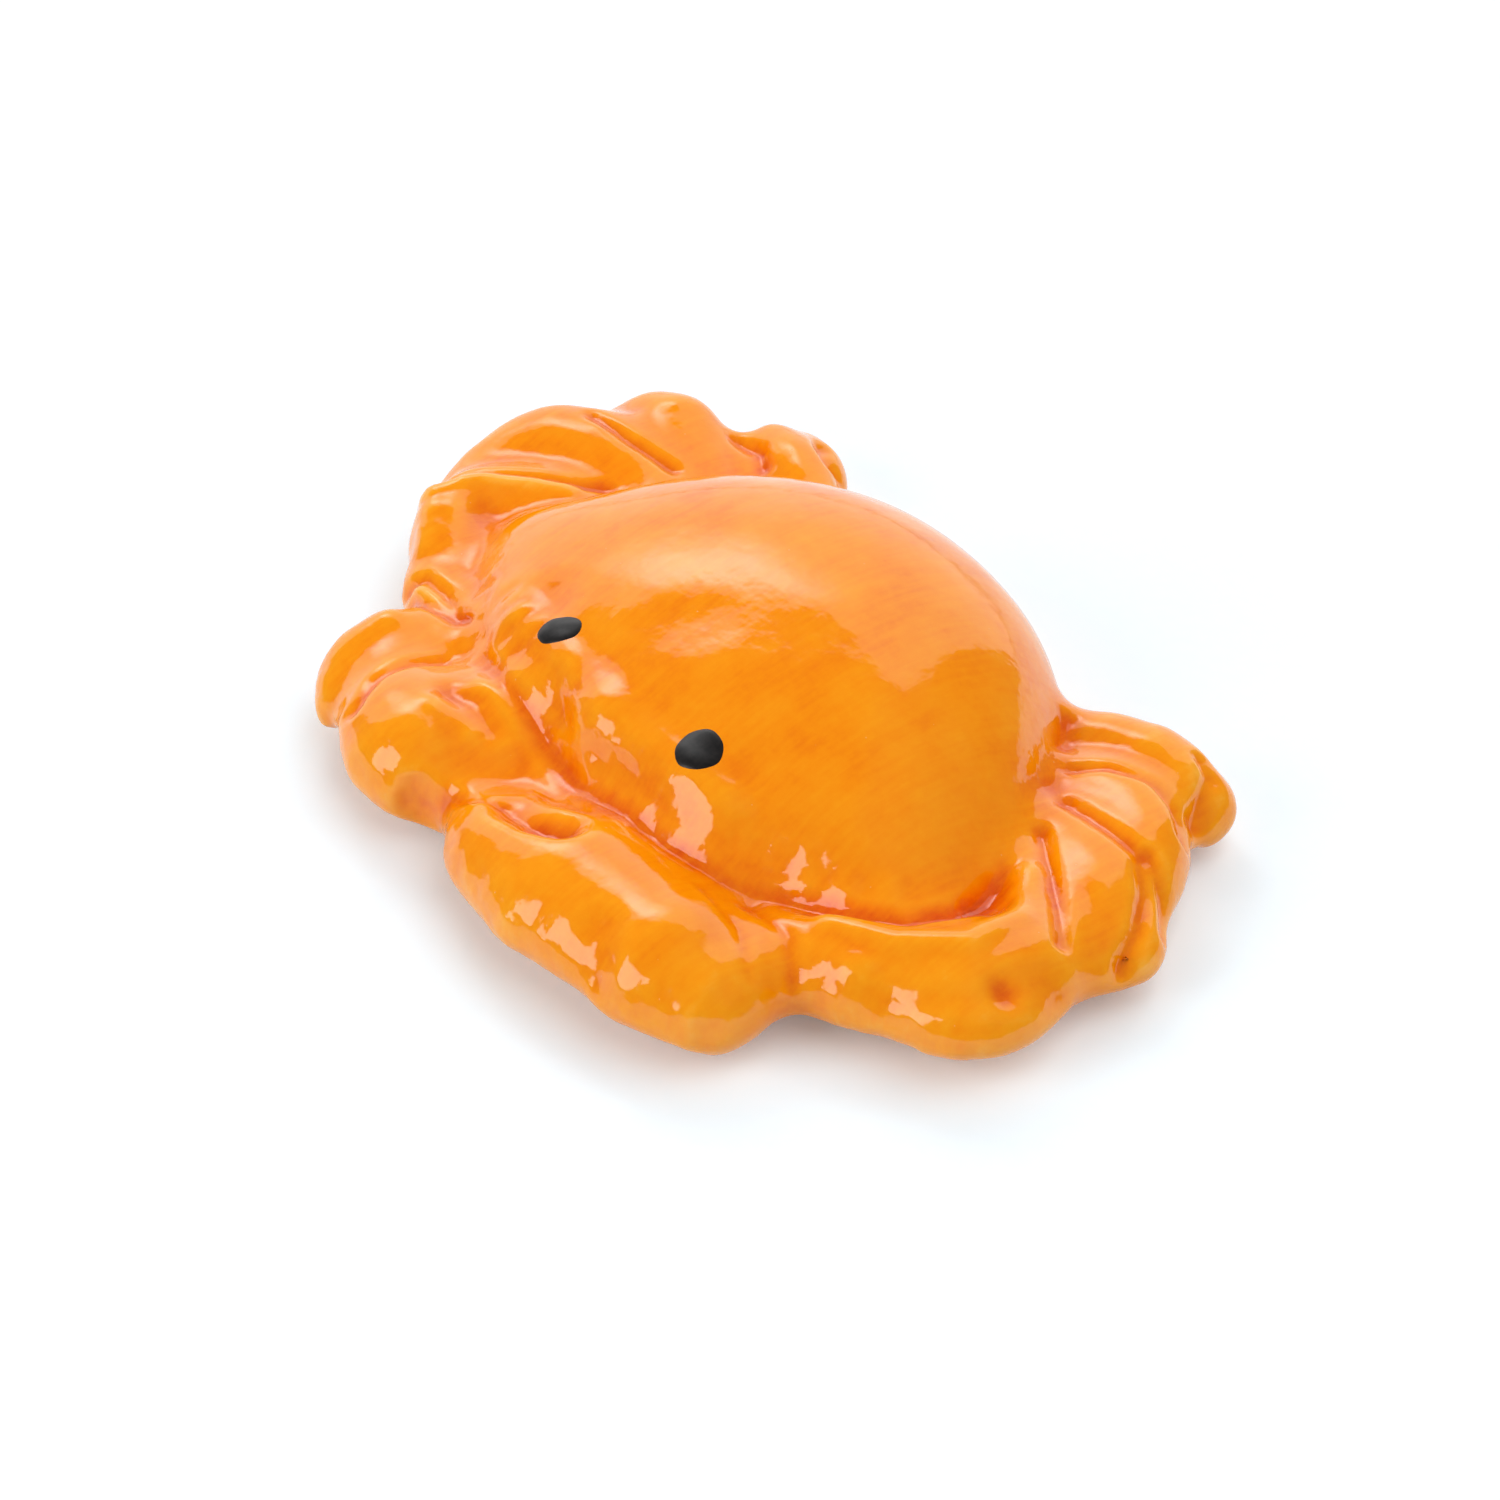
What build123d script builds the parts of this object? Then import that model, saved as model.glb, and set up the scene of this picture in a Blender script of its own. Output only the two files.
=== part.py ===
from build123d import *
import math
import os

os.makedirs("parts", exist_ok=True)

# A pottery crab lying flat, as wide as a hand is long.
# Millimetres, +Z up, +X towards the crab's own left, -Y towards its face.
# The origin is the middle of the flat foot, on the table.

# Driving sizes of the body
body_width = 87.6
body_length = 59.0
body_back_share = 0.0593
shell_top = 26.6
seam_height = 8.5
clay_wall = 4.0
vent_diameter = 6.0
vent_back = 13.0
body_centre_back = body_length * body_back_share

# How far the limbs reach round the body, in shares of its width and length, and how high they
# are lifted off the table
limb_span_share = 1.37
limb_depth_share = 1.356
limb_lift = 1.8
limb_span = body_width * limb_span_share
limb_depth = body_length * limb_depth_share

# Driving sizes of the eyes, two low lenses of black glaze, which lie back from the shell's front
eye_diameter = 5.0
eye_rise = 0.7
eye_spacing = 26.8
eye_from_front = 7.6013
eye_pair_shift = 0.2
eye_forward = body_length / 2 - body_centre_back - eye_from_front

# Driving sizes of the flutes pressed into the shell's edge, and their turns from the middle of
# the face in degrees, towards the crab's left
flute_radius = 1.8
flute_depth = 0.45
flute_length = 9.0
flute_height = 12.5
flute_turns = (-57, -52, -47, -42, 56, 63, 71, 171, 179, 187)

# Widths and top heights of the limbs
left_finger_width = 20.0
left_finger_top = 15.2
left_thumb_width = 9.0
left_thumb_top = 12.5
left_palm_width = 20.0
left_palm_top = 15.0
left_wrist_width = 10.0
left_wrist_top = 13.0
right_palm_width = 18.4
right_palm_top = 15.0
right_thumb_width = 11.0
right_thumb_top = 13.5
right_wrist_width = 13.0
right_wrist_top = 13.5
left_arm_width = 17.0
left_arm_top = 13.8
right_arm_width = 15.0
right_arm_top = 13.5
forearm_width = 8.2
forearm_top = 12.5
leg_width = 12.0
leg_top = 13.0
rear_leg_width = 10.5
rear_leg_top = 12.0
foot_width = 7.5
foot_top = 10.0

# The rim of the body, in shares of its half width and half length, front middle first
rim_shares = (
    (0.01, -1.00), (0.16, -0.95), (0.36, -0.945), (0.55, -0.895), (0.69, -0.75), (0.84, -0.62),
    (0.965, -0.46), (1.00, -0.31), (0.94, -0.08), (0.85, 0.17), (0.70, 0.48), (0.52, 0.75),
    (0.28, 0.945), (0.00, 1.00), (-0.28, 0.945), (-0.52, 0.75), (-0.70, 0.48), (-0.85, 0.17),
    (-0.94, -0.08), (-1.00, -0.31), (-0.965, -0.46), (-0.83, -0.66), (-0.69, -0.84),
    (-0.48, -0.875), (-0.25, -0.88), (-0.10, -0.95),
)

# How the dome closes in as it rises: height share, then the shares of the half width, of the
# half length behind the middle and of the half length before it, and how far the outline has
# rounded to a plain oval
dome_shares = (
    (0.00, 1.000, 1.000, 1.00, 0.00), (0.14, 0.964, 0.975, 0.99, 0.05), (0.31, 0.898, 0.930, 0.965, 0.18),
    (0.48, 0.800, 0.865, 0.90, 0.38), (0.63, 0.688, 0.785, 0.765, 0.58), (0.76, 0.565, 0.685, 0.60, 0.72),
    (0.87, 0.425, 0.565, 0.39, 0.85), (0.95, 0.280, 0.425, 0.16, 0.95), (0.995, 0.130, 0.285, -0.06, 1.00),
)
limb_seat_levels = 5

# How the belly tucks in below the rim: height share and outline share
belly_shares = ((0.0, 0.74), (0.12, 0.83), (0.38, 0.94), (0.7, 0.985), (1.0, 1.0))

# The grooves between neighbouring limbs, in shares of the half span and half depth.
# Each one runs from under the body to beyond the tips.
claws_inner_shares = ((-0.04, -0.67), (-0.07, -0.77))
claws_outer_shares = ((-0.07, -0.77), (-0.08, -0.86), (-0.10, -0.93), (-0.15, -0.97), (-0.20, -1.10))
left_thumb_shares = (
    (0.24, -0.57), (0.22, -0.68), (0.15, -0.76),
    (0.07, -0.79), (-0.02, -0.785), (-0.07, -0.77),
)
left_finger_shares = ((0.35, -0.59), (0.33, -0.75), (0.33, -0.90), (0.35, -1.05), (0.38, -1.20))
left_palm_shares = (
    (0.45, -0.59), (0.52, -0.64), (0.58, -0.71),
    (0.63, -0.81), (0.65, -0.95), (0.70, -1.15),
)
left_wrist_shares = ((0.475, -0.565), (0.54, -0.60), (0.62, -0.64), (0.70, -0.70), (0.80, -0.80))
left_arm_shares = ((0.61, 0.27), (0.67, 0.23), (0.77, 0.14), (0.87, 0.06), (0.95, 0.02), (1.05, 0.00))
left_front_inner_shares = (
    (0.54, 0.41), (0.60, 0.43), (0.68, 0.46),
    (0.77, 0.45), (0.82, 0.39), (0.855, 0.335),
)
left_front_outer_shares = ((0.855, 0.335), (0.89, 0.265), (0.92, 0.19), (0.955, 0.115), (1.05, 0.05))
left_foot_shares = ((0.855, 0.335), (0.91, 0.36), (0.975, 0.33), (1.10, 0.28))
left_middle_inner_shares = ((0.47, 0.55), (0.53, 0.60), (0.60, 0.66), (0.67, 0.69), (0.73, 0.695))
left_middle_outer_shares = ((0.73, 0.695), (0.80, 0.70), (0.93, 0.75))
left_toe_shares = ((0.73, 0.695), (0.71, 0.76), (0.67, 0.815), (0.61, 0.865), (0.52, 0.95))
right_thumb_shares = (
    (-0.37, -0.56), (-0.345, -0.66), (-0.29, -0.755),
    (-0.18, -0.78), (-0.11, -0.78), (-0.07, -0.77),
)
right_palm_shares = (
    (-0.42, -0.57), (-0.475, -0.65), (-0.505, -0.74),
    (-0.51, -0.85), (-0.515, -0.96), (-0.55, -1.15),
)
right_wrist_shares = ((-0.49, -0.51), (-0.54, -0.54), (-0.61, -0.54), (-0.68, -0.56), (-0.77, -0.625))
right_forearm_shares = ((-0.55, -0.44), (-0.61, -0.41), (-0.68, -0.395), (-0.77, -0.42), (-0.88, -0.51))
right_arm_shares = (
    (-0.68, 0.21), (-0.79, 0.125), (-0.875, 0.025),
    (-0.925, -0.06), (-0.975, -0.16), (-1.05, -0.25),
)
right_front_shares = ((-0.62, 0.41), (-0.68, 0.425), (-0.79, 0.42), (-0.91, 0.41), (-1.03, 0.375))
right_middle_shares = ((-0.52, 0.59), (-0.59, 0.645), (-0.64, 0.675), (-0.70, 0.695), (-0.83, 0.75))
back_shares = ((0.0, 0.50), (0.0, 0.90))
right_toe_shares = (
    (-0.38, 0.74), (-0.46, 0.79), (-0.53, 0.825),
    (-0.63, 0.835), (-0.70, 0.81), (-0.78, 0.815),
)

# The limbs, each a row of places along its crest.
# A place is two shares of the half span and half depth, then shares of its width and top height.
left_finger_limb_shares = (
    (-0.11, -0.915, 0.30, 0.625), (-0.035, -0.92, 0.58, 0.775), (0.065, -0.92, 0.80, 0.895),
    (0.185, -0.89, 1.04, 0.985), (0.30, -0.87, 1.06, 1.00), (0.415, -0.855, 1.00, 0.975),
)
left_thumb_limb_shares = (
    (-0.07, -0.715, 0.755, 0.77), (0.015, -0.70, 0.89, 0.85), (0.10, -0.695, 1.045, 0.96),
    (0.19, -0.71, 1.155, 1.08), (0.285, -0.74, 1.245, 1.12),
)
left_palm_limb_shares = (
    (0.265, -0.86, 0.98, 0.985), (0.365, -0.855, 1.01, 1.00), (0.465, -0.84, 1.00, 1.00),
    (0.54, -0.825, 0.90, 0.96), (0.60, -0.80, 0.76, 0.865),
)
left_wrist_limb_shares = (
    (0.465, -0.615, 0.68, 0.83), (0.545, -0.665, 0.88, 0.94), (0.61, -0.76, 0.96, 1.00),
    (0.615, -0.85, 0.88, 0.89),
)
left_arm_limb_shares = (
    (0.555, -0.57, 0.635, 0.855), (0.66, -0.465, 0.825, 0.93), (0.765, -0.345, 0.94, 0.98),
    (0.835, -0.22, 1.01, 1.00), (0.855, -0.075, 0.87, 0.94), (0.82, 0.05, 0.70, 0.88),
    (0.735, 0.125, 0.55, 0.83), (0.65, 0.19, 0.44, 0.80),
)
left_front_leg_shares = (
    (0.565, 0.36, 0.70, 0.845), (0.665, 0.34, 0.935, 0.955), (0.765, 0.295, 1.135, 1.00),
    (0.855, 0.205, 1.035, 0.925), (0.92, 0.12, 0.665, 0.725),
)
left_middle_leg_shares = (
    (0.485, 0.49, 0.735, 0.81), (0.575, 0.53, 0.935, 0.94), (0.675, 0.54, 0.95, 1.00),
    (0.76, 0.48, 0.85, 1.00), (0.825, 0.38, 0.715, 0.925), (0.865, 0.29, 0.565, 0.81),
)
left_middle_foot_shares = (
    (0.89, 0.315, 0.745, 1.00), (0.925, 0.245, 1.015, 1.04), (0.935, 0.17, 0.935, 0.94),
    (0.935, 0.11, 0.64, 0.78),
)
left_rear_leg_shares = (
    (0.365, 0.615, 0.76, 0.835), (0.465, 0.68, 1.01, 0.95), (0.565, 0.74, 1.01, 1.00),
    (0.66, 0.77, 0.915, 0.95), (0.71, 0.77, 0.76, 0.835),
)
left_rear_foot_shares = (
    (0.63, 0.83, 0.695, 0.84), (0.68, 0.81, 0.86, 0.90), (0.71, 0.77, 0.74, 0.84),
    (0.72, 0.735, 0.585, 0.70),
)
right_palm_limb_shares = (
    (-0.45, -0.79, 0.695, 0.865), (-0.365, -0.85, 1.00, 0.985), (-0.275, -0.905, 0.87, 0.985),
    (-0.19, -0.905, 0.63, 0.865), (-0.135, -0.89, 0.39, 0.72),
)
right_thumb_limb_shares = (
    (-0.40, -0.645, 0.80, 0.89), (-0.31, -0.66, 1.02, 0.995), (-0.21, -0.67, 1.055, 0.995),
    (-0.125, -0.69, 0.875, 0.89), (-0.065, -0.715, 0.655, 0.74),
)
right_wrist_limb_shares = (
    (-0.465, -0.565, 0.645, 0.815), (-0.53, -0.615, 0.72, 0.935), (-0.56, -0.715, 0.72, 0.995),
    (-0.55, -0.825, 0.80, 0.89), (-0.51, -0.90, 0.645, 0.74),
)
right_forearm_limb_shares = (
    (-0.705, -0.46, 0.685, 0.85), (-0.66, -0.47, 0.925, 0.96), (-0.60, -0.48, 0.95, 0.96),
    (-0.54, -0.485, 0.755, 0.865), (-0.485, -0.49, 0.535, 0.785),
)
right_arm_outer_shares = (
    (-0.64, 0.135, 0.505, 0.85), (-0.73, 0.05, 0.665, 0.965), (-0.795, -0.055, 0.72, 1.00),
    (-0.83, -0.15, 0.72, 0.995),
)
right_arm_inner_shares = (
    (-0.835, -0.14, 0.695, 0.995), (-0.805, -0.245, 0.64, 0.995), (-0.735, -0.33, 0.665, 0.935),
    (-0.66, -0.375, 0.615, 0.845), (-0.565, -0.41, 0.48, 0.755),
)
right_front_leg_shares = (
    (-0.60, 0.31, 0.735, 0.875), (-0.70, 0.325, 1.00, 1.00), (-0.805, 0.30, 1.20, 1.075),
    (-0.90, 0.195, 1.10, 1.03), (-0.94, 0.025, 0.735, 0.845), (-0.945, -0.11, 0.435, 0.66),
)
right_middle_leg_shares = (
    (-0.515, 0.44, 0.60, 0.69), (-0.61, 0.48, 0.735, 0.815), (-0.69, 0.52, 0.865, 0.925),
    (-0.775, 0.545, 1.00, 1.045), (-0.85, 0.52, 0.865, 0.955), (-0.89, 0.44, 0.60, 0.755),
)
right_rear_leg_shares = (
    (-0.39, 0.64, 0.76, 0.835), (-0.485, 0.70, 0.95, 0.95), (-0.575, 0.745, 0.95, 1.00),
    (-0.64, 0.755, 0.80, 0.915),
)
right_rear_foot_shares = (
    (-0.675, 0.79, 0.695, 0.80), (-0.625, 0.84, 0.855, 0.90), (-0.57, 0.85, 0.825, 0.90),
    (-0.515, 0.825, 0.615, 0.80),
)

# How a limb rounds off at each end: the turn of each slice round the tip, in degrees
tip_turns = (30, 60)
slice_spacing_share = 0.6
waist_share = 0.42


def place(x_share, y_share):
    """A place on the plan, from its shares of the half span and half depth."""
    return Vector(x_share * limb_span / 2, y_share * limb_depth / 2)


def body_section(height, side_share, back_share, face_share, round_share, wall):
    """The body's outline at one height, closed in by its shares and drawn in by the wall."""
    middle = (back_share - face_share) / 2
    reach = (back_share + face_share) / 2
    points = []
    for x_share, y_share in rim_shares:
        ease = 1 - round_share + round_share / math.hypot(x_share, y_share)
        x = x_share * ease * side_share * (body_width / 2 - wall)
        y = body_centre_back + (middle + y_share * ease * reach) * (body_length / 2 - wall)
        points.append((x, y))
    with BuildSketch(Plane.XY.offset(height)) as section:
        with BuildLine():
            Spline(*points, periodic=True)
        make_face()
    return section.sketch


def dome_sections(wall):
    """Stacked outlines of the dome, from the seam up."""
    rise = shell_top - wall - seam_height
    return [
        body_section(seam_height + rise * height, side, back, face, rounding, wall)
        for height, side, back, face, rounding in dome_shares
    ]


def belly_sections(wall):
    """Stacked outlines of the belly, from its floor up to the seam."""
    rise = seam_height - wall
    return [
        body_section(wall + rise * height, outline, outline, outline, 0, wall)
        for height, outline in belly_shares
    ]


def limb_slice(spot, run, half, tall, rest):
    """A slice across a limb, square to its run: a high oval above its widest line, a low one below."""
    across = Vector(-run.Y, run.X)
    waist = rest + tall * waist_share
    with BuildSketch(Plane(origin=(spot.X, spot.Y, waist), x_dir=across, z_dir=run)) as oval:
        with BuildLine():
            EllipticalCenterArc((0, 0), half, tall * (1 - waist_share), start_angle=0, arc_size=180)
            EllipticalCenterArc((0, 0), half, tall * waist_share, start_angle=180, arc_size=180)
        make_face()
    return oval.sketch


def limb_sections(rows, width, top):
    """Evenly spaced slices along a limb, closed by a rounded tip at each end."""
    places = [place(row[0], row[1]) for row in rows]
    with BuildLine() as route:
        Spline(*places)
    crest = route.edges()[0]
    runs = [(places[i] - places[max(i - 1, 0)]).length for i in range(len(places))]
    marks = [sum(runs[: i + 1]) / sum(runs) for i in range(len(places))]
    usual_half = sum(row[2] for row in rows) / len(rows) * width / 2
    steps = max(2, round(crest.length / (slice_spacing_share * usual_half)))
    slices = []
    for step in range(steps + 1):
        along = step / steps
        after = next((i for i, mark in enumerate(marks) if mark >= along), len(marks) - 1)
        before = max(after - 1, 0)
        blend = 0 if after == before else (along - marks[before]) / (marks[after] - marks[before])
        half = (rows[before][2] + (rows[after][2] - rows[before][2]) * blend) * width / 2
        high = (rows[before][3] + (rows[after][3] - rows[before][3]) * blend) * top
        slices.append((crest @ along, crest % along, half, high - limb_lift))
    return tip(slices[0], -1) + [limb_slice(*piece, limb_lift) for piece in slices] + tip(slices[-1], 1)


def tip(end_slice, way):
    """The slices that round off one end of a limb, ordered along its run."""
    spot, run, half, tall = end_slice
    waist = limb_lift + tall * waist_share
    rounds = []
    for turn in tip_turns:
        out = Vector(run) * way * half * sin_of(turn)
        close = cos_of(turn)
        rest = waist - tall * close * waist_share
        rounds.append(limb_slice(spot + out, run, half * close, tall * close, rest))
    end = spot + Vector(run) * way * half
    rounds.append(Vertex(end.X, end.Y, waist))
    return rounds if way > 0 else rounds[::-1]


def sin_of(degrees):
    """The sine of an angle in degrees."""
    return math.sin(math.radians(degrees))


def cos_of(degrees):
    """The cosine of an angle in degrees."""
    return math.cos(math.radians(degrees))


def groove(shares, from_hub=True, to_edge=True):
    """The wall line between two limbs, drawn out to the hub and past the tips."""
    points = [place(x_share, y_share) for x_share, y_share in shares]
    hub = Vector(0, body_centre_back)
    with BuildLine() as line:
        if from_hub:
            Line(hub, points[0])
        if len(points) > 2:
            Spline(*points)
        else:
            Line(*points)
        if to_edge:
            Line(points[-1], hub + (points[-1] - hub).normalized() * limb_span)
    return line.line


def cell(*lines):
    """The ground between grooves that meet end to end, closed by a straight line where they don't."""
    with BuildSketch() as ground:
        with BuildLine():
            for line in lines:
                add(line)
        make_face()
    return ground.sketch


def edge_line(first, second):
    """A straight line between the far ends of two grooves."""
    with BuildLine() as line:
        Line(far_end(first), far_end(second))
    return line.line


def far_end(line):
    """The end of a groove that lies farthest from the hub."""
    hub = Vector(0, body_centre_back)
    corners = [Vector(*vertex) for vertex in line.vertices()]
    return max(corners, key=lambda corner: (corner - hub).length)


def on_dome(ray):
    """Where a line leaves the dome, and the way straight out of the surface there."""
    return max(dome.part.find_intersection_points(ray), key=lambda hit: (hit[0] - ray.position).length)


def flute_plane(turn):
    """The plane of a flute's round end, set so that the flute bites to its depth."""
    out = Vector(sin_of(turn), -cos_of(turn))
    spot, normal = on_dome(Axis(Vector(0, body_centre_back, flute_height), out))
    along = Vector(-out.Y, out.X).cross(normal)
    return Plane(origin=spot + normal * (flute_radius - flute_depth), z_dir=along)


def eye_spot(side):
    """The middle of an eye on the dome, and the way that it looks."""
    x = side * eye_spacing / 2 - eye_pair_shift
    return on_dome(Axis(Vector(x, -eye_forward, 0), Vector(0, 0, 1)))


# The dome's outer form
with BuildPart() as dome:
    loft(dome_sections(0))

# Outer form of the body as high as the limbs reach, which they are cut to
with BuildPart() as body:
    loft(dome_sections(0)[:limb_seat_levels])
    loft(belly_sections(0))

# The domed shell, hollow underneath, with flutes pressed into its edge
with BuildPart() as carapace:
    add(dome.part)
    loft(dome_sections(clay_wall), mode=Mode.SUBTRACT)
    with Locations(*[flute_plane(turn) for turn in flute_turns]):
        Cylinder(flute_radius, flute_length, mode=Mode.SUBTRACT)

# The belly pan with its flat foot and the vent that casting leaves
with BuildPart() as belly:
    loft(belly_sections(0))
    loft(belly_sections(clay_wall), mode=Mode.SUBTRACT)
    with Locations((0, vent_back, clay_wall)):
        Hole(vent_diameter / 2)

# The eyes, lenses that follow the dome underneath
eye_ball_radius = (eye_diameter**2 / 4 + eye_rise**2) / (2 * eye_rise)
for name, side in (("left_eye", 1), ("right_eye", -1)):
    spot, normal = eye_spot(side)
    with BuildPart() as eye:
        with Locations(spot - normal * (eye_ball_radius - eye_rise)):
            Sphere(eye_ball_radius)
        add(dome.part, mode=Mode.SUBTRACT)
    lens = eye.part.solids().sort_by(Axis.Z)[-1]
    lens.label = name
    export_step(lens, f"parts/{name}.step")

carapace.part.label = "carapace"
export_step(carapace.part, "parts/carapace.step")
belly.part.label = "belly"
export_step(belly.part, "parts/belly.step")

# The grooves
claws_inner = groove(claws_inner_shares, to_edge=False)
claws_outer = groove(claws_outer_shares, from_hub=False)
left_thumb_line = groove(left_thumb_shares, to_edge=False)
left_finger_line = groove(left_finger_shares)
left_palm_line = groove(left_palm_shares)
left_wrist_line = groove(left_wrist_shares)
left_arm_line = groove(left_arm_shares)
left_front_inner = groove(left_front_inner_shares, to_edge=False)
left_front_outer = groove(left_front_outer_shares, from_hub=False)
left_foot_line = groove(left_foot_shares, from_hub=False)
left_middle_inner = groove(left_middle_inner_shares, to_edge=False)
left_middle_outer = groove(left_middle_outer_shares, from_hub=False)
left_toe_line = groove(left_toe_shares, from_hub=False)
right_thumb_line = groove(right_thumb_shares, to_edge=False)
right_palm_line = groove(right_palm_shares)
right_wrist_line = groove(right_wrist_shares)
right_forearm_line = groove(right_forearm_shares)
right_arm_line = groove(right_arm_shares)
right_front_line = groove(right_front_shares)
right_middle_line = groove(right_middle_shares)
right_toe_line = groove(right_toe_shares)
back_line = groove(back_shares)

# Every limb: its name, its slices, and the ground that it may fill
limbs = {
    "left_claw_finger": (
        [limb_sections(left_finger_limb_shares, left_finger_width, left_finger_top)],
        cell(left_thumb_line, claws_outer, left_finger_line, edge_line(claws_outer, left_finger_line)),
    ),
    "left_claw_thumb": (
        [limb_sections(left_thumb_limb_shares, left_thumb_width, left_thumb_top)],
        cell(left_thumb_line, claws_inner),
    ),
    "left_palm": (
        [limb_sections(left_palm_limb_shares, left_palm_width, left_palm_top)],
        cell(left_finger_line, left_palm_line, edge_line(left_finger_line, left_palm_line)),
    ),
    "left_wrist": (
        [limb_sections(left_wrist_limb_shares, left_wrist_width, left_wrist_top)],
        cell(left_palm_line, left_wrist_line, edge_line(left_palm_line, left_wrist_line)),
    ),
    "left_arm": (
        [limb_sections(left_arm_limb_shares, left_arm_width, left_arm_top)],
        cell(left_wrist_line, left_arm_line, edge_line(left_wrist_line, left_arm_line)),
    ),
    "left_front_leg": (
        [limb_sections(left_front_leg_shares, leg_width, leg_top)],
        cell(left_arm_line, left_front_inner, left_front_outer, edge_line(left_arm_line, left_front_outer)),
    ),
    "left_middle_foot": (
        [limb_sections(left_middle_foot_shares, foot_width, foot_top)],
        cell(left_front_outer, left_foot_line, edge_line(left_front_outer, left_foot_line)),
    ),
    "left_middle_leg": (
        [limb_sections(left_middle_leg_shares, leg_width, leg_top)],
        cell(
            left_front_inner, left_foot_line, left_middle_inner, left_middle_outer,
            edge_line(left_foot_line, left_middle_outer),
        ),
    ),
    "left_rear_foot": (
        [limb_sections(left_rear_foot_shares, foot_width, foot_top)],
        cell(left_middle_outer, left_toe_line, edge_line(left_middle_outer, left_toe_line)),
    ),
    "left_rear_leg": (
        [limb_sections(left_rear_leg_shares, rear_leg_width, rear_leg_top)],
        cell(left_middle_inner, left_toe_line, back_line, edge_line(left_toe_line, back_line)),
    ),
    "right_palm": (
        [limb_sections(right_palm_limb_shares, right_palm_width, right_palm_top)],
        cell(right_thumb_line, claws_outer, right_palm_line, edge_line(claws_outer, right_palm_line)),
    ),
    "right_claw_thumb": (
        [limb_sections(right_thumb_limb_shares, right_thumb_width, right_thumb_top)],
        cell(right_thumb_line, claws_inner),
    ),
    "right_wrist": (
        [limb_sections(right_wrist_limb_shares, right_wrist_width, right_wrist_top)],
        cell(right_palm_line, right_wrist_line, edge_line(right_palm_line, right_wrist_line)),
    ),
    "right_forearm": (
        [limb_sections(right_forearm_limb_shares, forearm_width, forearm_top)],
        cell(right_wrist_line, right_forearm_line, edge_line(right_wrist_line, right_forearm_line)),
    ),
    "right_upper_arm": (
        [
            limb_sections(right_arm_outer_shares, right_arm_width, right_arm_top),
            limb_sections(right_arm_inner_shares, right_arm_width, right_arm_top),
        ],
        cell(right_forearm_line, right_arm_line, edge_line(right_forearm_line, right_arm_line)),
    ),
    "right_front_leg": (
        [limb_sections(right_front_leg_shares, leg_width, leg_top)],
        cell(right_arm_line, right_front_line, edge_line(right_arm_line, right_front_line)),
    ),
    "right_middle_leg": (
        [limb_sections(right_middle_leg_shares, leg_width, leg_top)],
        cell(right_front_line, right_middle_line, edge_line(right_front_line, right_middle_line)),
    ),
    "right_rear_leg": (
        [limb_sections(right_rear_leg_shares, rear_leg_width, rear_leg_top)],
        cell(right_middle_line, right_toe_line, edge_line(right_middle_line, right_toe_line)),
    ),
    "right_rear_foot": (
        [limb_sections(right_rear_foot_shares, foot_width, foot_top)],
        cell(right_toe_line, back_line, edge_line(right_toe_line, back_line)),
    ),
}

for name, (forms, ground) in limbs.items():
    with BuildPart() as limb:
        for sections in forms:
            loft(sections)
        extrude(ground, amount=shell_top, mode=Mode.INTERSECT)
        add(body.part, mode=Mode.SUBTRACT)
    piece = limb.part.solids().sort_by(SortBy.VOLUME)[-1]
    piece.label = name
    export_step(piece, f"parts/{name}.step")
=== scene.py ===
# %% [markdown]
# # A glazed pottery crab
# The real object is a slip-cast earthenware crab, a palm-sized ornament taken to be 120 mm wide. The
# form that it was cast from was modelled in soft clay, so its limbs melt into each other in rounded
# valleys. The casting was dipped in an orange glaze that runs thin on the ridges and pools in the
# valleys. Two dabs of black glaze are the eyes.
#
# The measured solids from the CAD model come in first. Nothing here moves or changes them.

# %% Load the measured frame
import bpy
import bmesh
import math
import numpy as np
from mathutils import Matrix, Vector, noise
from mathutils.bvhtree import BVHTree


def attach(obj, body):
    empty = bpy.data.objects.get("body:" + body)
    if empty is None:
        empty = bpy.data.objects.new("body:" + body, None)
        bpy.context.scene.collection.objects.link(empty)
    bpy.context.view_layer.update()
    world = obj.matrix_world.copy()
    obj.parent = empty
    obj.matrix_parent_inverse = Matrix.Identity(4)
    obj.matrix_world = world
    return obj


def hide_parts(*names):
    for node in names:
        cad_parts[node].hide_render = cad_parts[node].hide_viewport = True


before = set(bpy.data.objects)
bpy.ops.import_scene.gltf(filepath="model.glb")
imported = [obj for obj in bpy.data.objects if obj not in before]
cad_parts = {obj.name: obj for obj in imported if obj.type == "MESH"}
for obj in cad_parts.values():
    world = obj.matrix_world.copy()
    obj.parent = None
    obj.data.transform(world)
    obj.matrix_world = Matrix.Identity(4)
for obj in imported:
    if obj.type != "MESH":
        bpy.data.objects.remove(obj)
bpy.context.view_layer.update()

MM = 0.001
scene = bpy.context.scene
print("nodes:", len(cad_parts))

# %% [markdown]
# ## The camera
# The photograph was taken with a long lens, looking down by about 40 degrees on the crab's left
# front. A long lens flattens perspective, which is why the far claw looks as large as the near one.
# The camera is placed from those angles and not by eye, and its lens is worked out from how many
# pixels of the picture one millimetre of the crab covers.

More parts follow.
